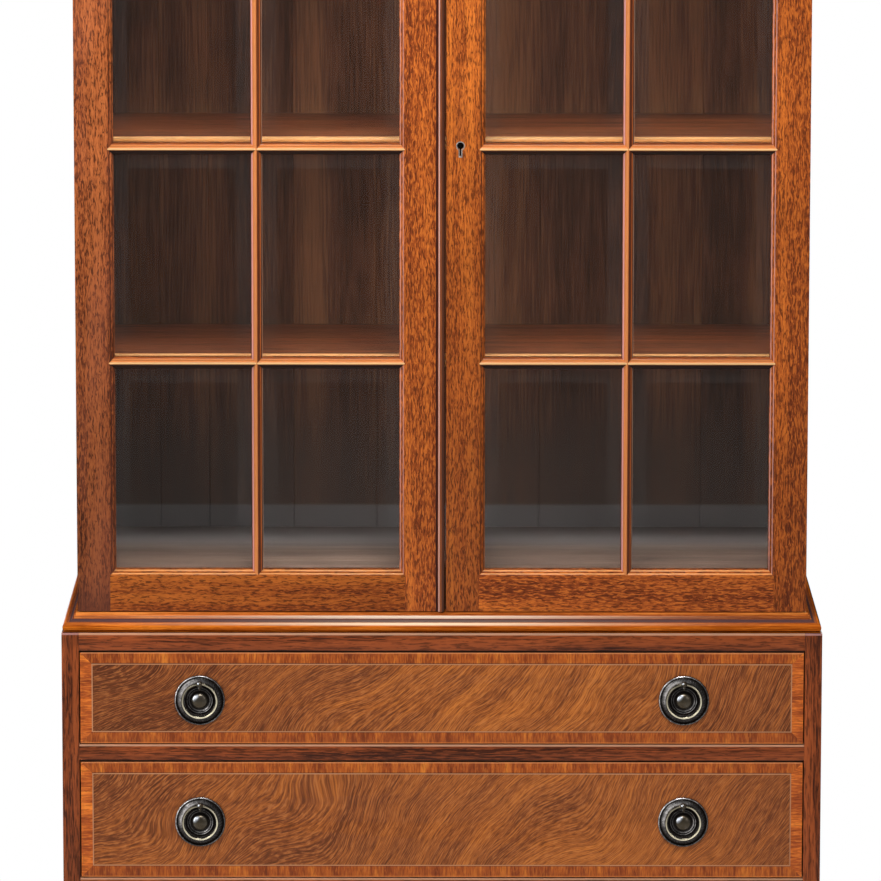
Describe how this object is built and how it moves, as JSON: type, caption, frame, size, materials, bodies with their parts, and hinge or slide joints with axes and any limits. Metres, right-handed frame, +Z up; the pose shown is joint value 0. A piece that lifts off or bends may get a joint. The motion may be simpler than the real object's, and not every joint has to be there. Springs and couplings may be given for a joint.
{
  "type": "glazed bookcase on chest of drawers",
  "caption": "Tall cupboard with glazed doors and shelves on a chest of long drawers, with ring pulls, bracket feet and a cornice.",
  "frame": {"origin": "on the floor, under the middle of the whole piece's box", "axes": "+X to the right as seen from the front, +Y to the back, +Z up"},
  "size_m": [1.119, 0.42, 2.1755],
  "materials": {
    "case_wood": "polished mahogany, even grain",
    "door_wood": "polished mahogany, even grain",
    "drawer_wood": "polished figured mahogany veneer with crossbanding and a dark and light line",
    "back_wood": "stained softwood boards, thin polish",
    "lining_wood": "plain planed wood, unpolished",
    "pane_glass": "clear plate glass, bevelled",
    "brass": "brushed brass",
    "pull_brass": "dark aged brass, worn bright on edges"
  },
  "bodies": {
    "case": {"lower_left_side": "case_wood", "lower_right_side": "case_wood", "lower_top_board": "case_wood", "lower_bottom_board": "case_wood", "drawer_rails": "case_wood", "bracket_feet": "case_wood", "base_moulding": "case_wood", "waist_moulding": "case_wood", "upper_left_side": "case_wood", "upper_right_side": "case_wood", "upper_top_board": "case_wood", "upper_base_board": "case_wood", "upper_floor": "case_wood", "low_shelf": "case_wood", "middle_shelf": "case_wood", "high_shelf": "case_wood", "frieze": "case_wood", "cornice": "case_wood", "lower_back_boards": "back_wood", "upper_back_boards": "back_wood", "drawer_runners": "lining_wood", "shelf_pegs": "lining_wood", "case_hinge_leaves": "brass"},
    "left_door": {"left_door_stiles": "door_wood", "left_door_rails": "door_wood", "left_door_glazing_bars": "door_wood", "left_door_panes": "pane_glass", "left_door_glazing_beads": "door_wood", "left_door_meeting_bead": "door_wood", "left_door_hinge_leaves": "brass", "left_door_bolt_plates": "brass"},
    "right_door": {"right_door_stiles": "door_wood", "right_door_rails": "door_wood", "right_door_glazing_bars": "door_wood", "right_door_panes": "pane_glass", "right_door_glazing_beads": "door_wood", "right_door_hinge_leaves": "brass", "right_door_lock_case": "brass", "right_door_escutcheon": "brass"},
    "left_door_top_bolt": {"left_door_top_bolt": "brass"},
    "left_door_bottom_bolt": {"left_door_bottom_bolt": "brass"},
    "right_door_lock_bolt": {"right_door_lock_bolt": "brass"},
    "top_drawer": {"top_drawer_front": "drawer_wood", "top_drawer_box": "lining_wood", "top_drawer_bottom": "lining_wood", "top_drawer_pull_plates": "pull_brass"},
    "top_drawer_left_ring": {"top_drawer_left_ring": "pull_brass"},
    "top_drawer_right_ring": {"top_drawer_right_ring": "pull_brass"},
    "middle_drawer": {"middle_drawer_front": "drawer_wood", "middle_drawer_box": "lining_wood", "middle_drawer_bottom": "lining_wood", "middle_drawer_pull_plates": "pull_brass"},
    "middle_drawer_left_ring": {"middle_drawer_left_ring": "pull_brass"},
    "middle_drawer_right_ring": {"middle_drawer_right_ring": "pull_brass"},
    "bottom_drawer": {"bottom_drawer_front": "drawer_wood", "bottom_drawer_box": "lining_wood", "bottom_drawer_bottom": "lining_wood", "bottom_drawer_pull_plates": "pull_brass"},
    "bottom_drawer_left_ring": {"bottom_drawer_left_ring": "pull_brass"},
    "bottom_drawer_right_ring": {"bottom_drawer_right_ring": "pull_brass"}
  },
  "joints": [
    {"name": "left_door_hinge", "type": "hinge", "parent": "case", "child": "left_door", "pos_m": [-0.5055, -0.151, 1.4005], "axis": [0, 0, -1], "range_deg": [0, 110]},
    {"name": "right_door_hinge", "type": "hinge", "parent": "case", "child": "right_door", "pos_m": [0.5055, -0.151, 1.4005], "axis": [0, 0, 1], "range_deg": [0, 110]},
    {"name": "top_bolt_slide", "type": "slide", "parent": "left_door", "child": "left_door_top_bolt", "axis": [0, 0, 1], "range_m": [0, 0.009]},
    {"name": "bottom_bolt_slide", "type": "slide", "parent": "left_door", "child": "left_door_bottom_bolt", "axis": [0, 0, -1], "range_m": [0, 0.009]},
    {"name": "lock_bolt_slide", "type": "slide", "parent": "right_door", "child": "right_door_lock_bolt", "axis": [-1, 0, 0], "range_m": [0, 0.009]},
    {"name": "top_drawer_slide", "type": "slide", "parent": "case", "child": "top_drawer", "axis": [0, -1, 0], "range_m": [0, 0.3]},
    {"name": "top_left_ring_swing", "type": "hinge", "parent": "top_drawer", "child": "top_drawer_left_ring", "pos_m": [-0.34, -0.1908, 0.6482], "axis": [-1, 0, 0], "range_deg": [0, 170]},
    {"name": "top_right_ring_swing", "type": "hinge", "parent": "top_drawer", "child": "top_drawer_right_ring", "pos_m": [0.34, -0.1908, 0.6482], "axis": [-1, 0, 0], "range_deg": [0, 170]},
    {"name": "middle_drawer_slide", "type": "slide", "parent": "case", "child": "middle_drawer", "axis": [0, -1, 0], "range_m": [0, 0.3]},
    {"name": "middle_left_ring_swing", "type": "hinge", "parent": "middle_drawer", "child": "middle_drawer_left_ring", "pos_m": [-0.34, -0.1908, 0.47335], "axis": [-1, 0, 0], "range_deg": [0, 170]},
    {"name": "middle_right_ring_swing", "type": "hinge", "parent": "middle_drawer", "child": "middle_drawer_right_ring", "pos_m": [0.34, -0.1908, 0.47335], "axis": [-1, 0, 0], "range_deg": [0, 170]},
    {"name": "bottom_drawer_slide", "type": "slide", "parent": "case", "child": "bottom_drawer", "axis": [0, -1, 0], "range_m": [0, 0.3]},
    {"name": "bottom_left_ring_swing", "type": "hinge", "parent": "bottom_drawer", "child": "bottom_drawer_left_ring", "pos_m": [-0.34, -0.1908, 0.2635], "axis": [-1, 0, 0], "range_deg": [0, 170]},
    {"name": "bottom_right_ring_swing", "type": "hinge", "parent": "bottom_drawer", "child": "bottom_drawer_right_ring", "pos_m": [0.34, -0.1908, 0.2635], "axis": [-1, 0, 0], "range_deg": [0, 170]}
  ]
}
